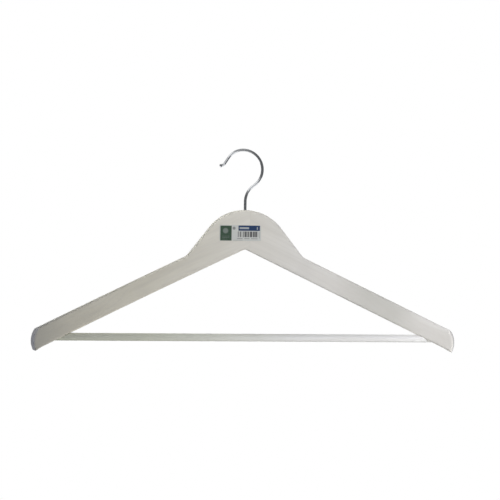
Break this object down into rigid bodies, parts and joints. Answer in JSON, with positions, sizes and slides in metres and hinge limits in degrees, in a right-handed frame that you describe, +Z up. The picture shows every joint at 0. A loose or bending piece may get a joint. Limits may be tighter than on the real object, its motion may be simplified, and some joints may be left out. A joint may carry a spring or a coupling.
{
  "type": "clothes hanger",
  "caption": "Contoured wooden clothes hanger with a round trouser bar and a swivelling chrome wire hook.",
  "frame": {"origin": "where the rail bears: the highest point inside the hook's bend, at the middle of the wire", "axes": "+X along the trouser bar, to the right as the hollow side is seen and towards the swivel axis; +Y along the rail, from the hollow side of the body to its back; +Z up as it hangs"},
  "size_m": [0.444, 0.0497, 0.2124],
  "materials": {
    "lacquered_wood": "satin off-white lacquer over fine-grained wood",
    "bar_wood": "satin off-white lacquer on a turned dowel",
    "hook_chrome": "bright chrome plate on drawn wire",
    "sleeve_steel": "zinc-plated turned steel",
    "pin_steel": "bright brad wire",
    "label_paper": null
  },
  "bodies": {
    "hook": {"hook": "hook_chrome"},
    "hanger": {"left_arm": "lacquered_wood", "right_arm": "lacquered_wood", "trouser_bar": "bar_wood", "left_bar_pin": "pin_steel", "right_bar_pin": "pin_steel", "hook_sleeve": "sleeve_steel", "paper_label": "label_paper"}
  },
  "joints": [
    {"name": "hook_swivel", "type": "hinge", "parent": "hook", "child": "hanger", "pos_m": [0.0028, 0, -0.0622], "axis": [0, 0, 1], "continuous": true}
  ]
}
